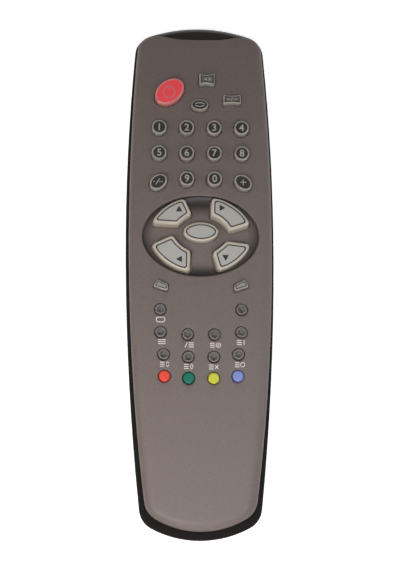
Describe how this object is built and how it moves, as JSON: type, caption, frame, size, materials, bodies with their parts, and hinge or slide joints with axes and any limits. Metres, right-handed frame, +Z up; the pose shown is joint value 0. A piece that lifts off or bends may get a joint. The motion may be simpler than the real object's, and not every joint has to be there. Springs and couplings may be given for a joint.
{
  "type": "tv remote control",
  "caption": "Hand-held TV remote control with an arched grey face, black tray, oval dish of petal keys, coloured key row, infrared window and sliding battery cover.",
  "frame": {"origin": "middle of the length and width, on the flat back that the remote lies on", "axes": "+Y along the remote to its infrared window, +X to the right seen from above the keys, +Z up out of the face"},
  "size_m": [0.0572, 0.2, 0.0223],
  "materials": {
    "face_paint": "satin taupe paint",
    "tray_plastic": "fine moulded grain",
    "window_plastic": "polished, smoked",
    "light_rubber": "satin",
    "beige_rubber": "satin",
    "grey_rubber": "satin",
    "power_red": "satin",
    "colour_red": "satin",
    "colour_green": "satin",
    "colour_yellow": "satin",
    "colour_blue": "satin",
    "mat_rubber": "matte",
    "board_phenolic": "matte",
    "plated_steel": "nickel plated",
    "cell_jacket": "printed film",
    "chip_black": "moulded epoxy",
    "resonator_blue": "dipped",
    "capacitor_sleeve": "shrunk sleeve",
    "resistor_tan": "dipped",
    "diode_epoxy": "clear, tinted"
  },
  "bodies": {
    "case": {"battery_cell_left": "cell_jacket", "battery_cell_right": "cell_jacket", "board_screws": "plated_steel", "bridge_contact": "plated_steel", "capacitor": "capacitor_sleeve", "circuit_board": "board_phenolic", "drive_transistor": "chip_black", "encoder_chip": "chip_black", "ir_led": "diode_epoxy", "ir_led_leads": "plated_steel", "ir_window": "window_plastic", "key_mat": "mat_rubber", "lower_case": "tray_plastic", "negative_contact": "plated_steel", "positive_contact": "plated_steel", "resistors": "resistor_tan", "resonator": "resonator_blue", "upper_case": "face_paint"},
    "cover": {"battery_cover": "tray_plastic"},
    "blue_key": {"blue_key": "colour_blue"},
    "cancel_key": {"cancel_key": "grey_rubber"},
    "channel_down_key": {"channel_down_key": "beige_rubber"},
    "channel_up_key": {"channel_up_key": "beige_rubber"},
    "clock_key": {"clock_key": "grey_rubber"},
    "dash_key": {"dash_key": "light_rubber"},
    "digit_key_0": {"digit_key_0": "light_rubber"},
    "digit_key_1": {"digit_key_1": "light_rubber"},
    "digit_key_2": {"digit_key_2": "light_rubber"},
    "digit_key_3": {"digit_key_3": "light_rubber"},
    "digit_key_4": {"digit_key_4": "light_rubber"},
    "digit_key_5": {"digit_key_5": "light_rubber"},
    "digit_key_6": {"digit_key_6": "light_rubber"},
    "digit_key_7": {"digit_key_7": "light_rubber"},
    "digit_key_8": {"digit_key_8": "light_rubber"},
    "digit_key_9": {"digit_key_9": "light_rubber"},
    "green_key": {"green_key": "colour_green"},
    "index_key": {"index_key": "grey_rubber"},
    "mix_key": {"mix_key": "grey_rubber"},
    "mute_key": {"mute_key": "light_rubber"},
    "page_key": {"page_key": "grey_rubber"},
    "plus_key": {"plus_key": "light_rubber"},
    "power_key": {"power_key": "power_red"},
    "recall_key": {"recall_key": "light_rubber"},
    "red_key": {"red_key": "colour_red"},
    "reveal_key": {"reveal_key": "grey_rubber"},
    "screen_key": {"screen_key": "grey_rubber"},
    "search_key": {"search_key": "grey_rubber"},
    "select_key": {"select_key": "beige_rubber"},
    "size_key": {"size_key": "grey_rubber"},
    "sound_key": {"sound_key": "light_rubber"},
    "source_key": {"source_key": "grey_rubber"},
    "store_key": {"store_key": "grey_rubber"},
    "text_key": {"text_key": "grey_rubber"},
    "volume_down_key": {"volume_down_key": "beige_rubber"},
    "volume_up_key": {"volume_up_key": "beige_rubber"},
    "yellow_key": {"yellow_key": "colour_yellow"}
  },
  "joints": [
    {"name": "blue_key_press", "type": "slide", "parent": "case", "child": "blue_key", "axis": [0, 0, -1], "range_m": [0, 0.001], "stiffness_N_per_m": 1500, "springref_m": -0.0002},
    {"name": "cancel_key_press", "type": "slide", "parent": "case", "child": "cancel_key", "axis": [0, 0, -1], "range_m": [0, 0.001], "stiffness_N_per_m": 1500, "springref_m": -0.0002},
    {"name": "channel_down_key_press", "type": "slide", "parent": "case", "child": "channel_down_key", "axis": [0, 0, -1], "range_m": [0, 0.001], "stiffness_N_per_m": 1500, "springref_m": -0.0002},
    {"name": "channel_up_key_press", "type": "slide", "parent": "case", "child": "channel_up_key", "axis": [0, 0, -1], "range_m": [0, 0.001], "stiffness_N_per_m": 1500, "springref_m": -0.0002},
    {"name": "clock_key_press", "type": "slide", "parent": "case", "child": "clock_key", "axis": [0, 0, -1], "range_m": [0, 0.001], "stiffness_N_per_m": 1500, "springref_m": -0.0002},
    {"name": "dash_key_press", "type": "slide", "parent": "case", "child": "dash_key", "axis": [0, 0, -1], "range_m": [0, 0.001], "stiffness_N_per_m": 1500, "springref_m": -0.0002},
    {"name": "digit_key_0_press", "type": "slide", "parent": "case", "child": "digit_key_0", "axis": [0, 0, -1], "range_m": [0, 0.001], "stiffness_N_per_m": 1500, "springref_m": -0.0002},
    {"name": "digit_key_1_press", "type": "slide", "parent": "case", "child": "digit_key_1", "axis": [0, 0, -1], "range_m": [0, 0.001], "stiffness_N_per_m": 1500, "springref_m": -0.0002},
    {"name": "digit_key_2_press", "type": "slide", "parent": "case", "child": "digit_key_2", "axis": [0, 0, -1], "range_m": [0, 0.001], "stiffness_N_per_m": 1500, "springref_m": -0.0002},
    {"name": "digit_key_3_press", "type": "slide", "parent": "case", "child": "digit_key_3", "axis": [0, 0, -1], "range_m": [0, 0.001], "stiffness_N_per_m": 1500, "springref_m": -0.0002},
    {"name": "digit_key_4_press", "type": "slide", "parent": "case", "child": "digit_key_4", "axis": [0, 0, -1], "range_m": [0, 0.001], "stiffness_N_per_m": 1500, "springref_m": -0.0002},
    {"name": "digit_key_5_press", "type": "slide", "parent": "case", "child": "digit_key_5", "axis": [0, 0, -1], "range_m": [0, 0.001], "stiffness_N_per_m": 1500, "springref_m": -0.0002},
    {"name": "digit_key_6_press", "type": "slide", "parent": "case", "child": "digit_key_6", "axis": [0, 0, -1], "range_m": [0, 0.001], "stiffness_N_per_m": 1500, "springref_m": -0.0002},
    {"name": "digit_key_7_press", "type": "slide", "parent": "case", "child": "digit_key_7", "axis": [0, 0, -1], "range_m": [0, 0.001], "stiffness_N_per_m": 1500, "springref_m": -0.0002},
    {"name": "digit_key_8_press", "type": "slide", "parent": "case", "child": "digit_key_8", "axis": [0, 0, -1], "range_m": [0, 0.001], "stiffness_N_per_m": 1500, "springref_m": -0.0002},
    {"name": "digit_key_9_press", "type": "slide", "parent": "case", "child": "digit_key_9", "axis": [0, 0, -1], "range_m": [0, 0.001], "stiffness_N_per_m": 1500, "springref_m": -0.0002},
    {"name": "green_key_press", "type": "slide", "parent": "case", "child": "green_key", "axis": [0, 0, -1], "range_m": [0, 0.001], "stiffness_N_per_m": 1500, "springref_m": -0.0002},
    {"name": "index_key_press", "type": "slide", "parent": "case", "child": "index_key", "axis": [0, 0, -1], "range_m": [0, 0.001], "stiffness_N_per_m": 1500, "springref_m": -0.0002},
    {"name": "mix_key_press", "type": "slide", "parent": "case", "child": "mix_key", "axis": [0, 0, -1], "range_m": [0, 0.001], "stiffness_N_per_m": 1500, "springref_m": -0.0002},
    {"name": "mute_key_press", "type": "slide", "parent": "case", "child": "mute_key", "axis": [0, 0, -1], "range_m": [0, 0.001], "stiffness_N_per_m": 1500, "springref_m": -0.0002},
    {"name": "page_key_press", "type": "slide", "parent": "case", "child": "page_key", "axis": [0, 0, -1], "range_m": [0, 0.001], "stiffness_N_per_m": 1500, "springref_m": -0.0002},
    {"name": "plus_key_press", "type": "slide", "parent": "case", "child": "plus_key", "axis": [0, 0, -1], "range_m": [0, 0.001], "stiffness_N_per_m": 1500, "springref_m": -0.0002},
    {"name": "power_key_press", "type": "slide", "parent": "case", "child": "power_key", "axis": [0, 0, -1], "range_m": [0, 0.001], "stiffness_N_per_m": 1500, "springref_m": -0.0002},
    {"name": "recall_key_press", "type": "slide", "parent": "case", "child": "recall_key", "axis": [0, 0, -1], "range_m": [0, 0.001], "stiffness_N_per_m": 1500, "springref_m": -0.0002},
    {"name": "red_key_press", "type": "slide", "parent": "case", "child": "red_key", "axis": [0, 0, -1], "range_m": [0, 0.001], "stiffness_N_per_m": 1500, "springref_m": -0.0002},
    {"name": "reveal_key_press", "type": "slide", "parent": "case", "child": "reveal_key", "axis": [0, 0, -1], "range_m": [0, 0.001], "stiffness_N_per_m": 1500, "springref_m": -0.0002},
    {"name": "screen_key_press", "type": "slide", "parent": "case", "child": "screen_key", "axis": [0, 0, -1], "range_m": [0, 0.001], "stiffness_N_per_m": 1500, "springref_m": -0.0002},
    {"name": "search_key_press", "type": "slide", "parent": "case", "child": "search_key", "axis": [0, 0, -1], "range_m": [0, 0.001], "stiffness_N_per_m": 1500, "springref_m": -0.0002},
    {"name": "select_key_press", "type": "slide", "parent": "case", "child": "select_key", "axis": [0, 0, -1], "range_m": [0, 0.001], "stiffness_N_per_m": 1500, "springref_m": -0.0002},
    {"name": "size_key_press", "type": "slide", "parent": "case", "child": "size_key", "axis": [0, 0, -1], "range_m": [0, 0.001], "stiffness_N_per_m": 1500, "springref_m": -0.0002},
    {"name": "sound_key_press", "type": "slide", "parent": "case", "child": "sound_key", "axis": [0, 0, -1], "range_m": [0, 0.001], "stiffness_N_per_m": 1500, "springref_m": -0.0002},
    {"name": "source_key_press", "type": "slide", "parent": "case", "child": "source_key", "axis": [0, 0, -1], "range_m": [0, 0.001], "stiffness_N_per_m": 1500, "springref_m": -0.0002},
    {"name": "store_key_press", "type": "slide", "parent": "case", "child": "store_key", "axis": [0, 0, -1], "range_m": [0, 0.001], "stiffness_N_per_m": 1500, "springref_m": -0.0002},
    {"name": "text_key_press", "type": "slide", "parent": "case", "child": "text_key", "axis": [0, 0, -1], "range_m": [0, 0.001], "stiffness_N_per_m": 1500, "springref_m": -0.0002},
    {"name": "volume_down_key_press", "type": "slide", "parent": "case", "child": "volume_down_key", "axis": [0, 0, -1], "range_m": [0, 0.001], "stiffness_N_per_m": 1500, "springref_m": -0.0002},
    {"name": "volume_up_key_press", "type": "slide", "parent": "case", "child": "volume_up_key", "axis": [0, 0, -1], "range_m": [0, 0.001], "stiffness_N_per_m": 1500, "springref_m": -0.0002},
    {"name": "yellow_key_press", "type": "slide", "parent": "case", "child": "yellow_key", "axis": [0, 0, -1], "range_m": [0, 0.001], "stiffness_N_per_m": 1500, "springref_m": -0.0002},
    {"name": "battery_cover_slide", "type": "slide", "parent": "case", "child": "cover", "axis": [0, -1, 0], "range_m": [0, 0.052]}
  ]
}
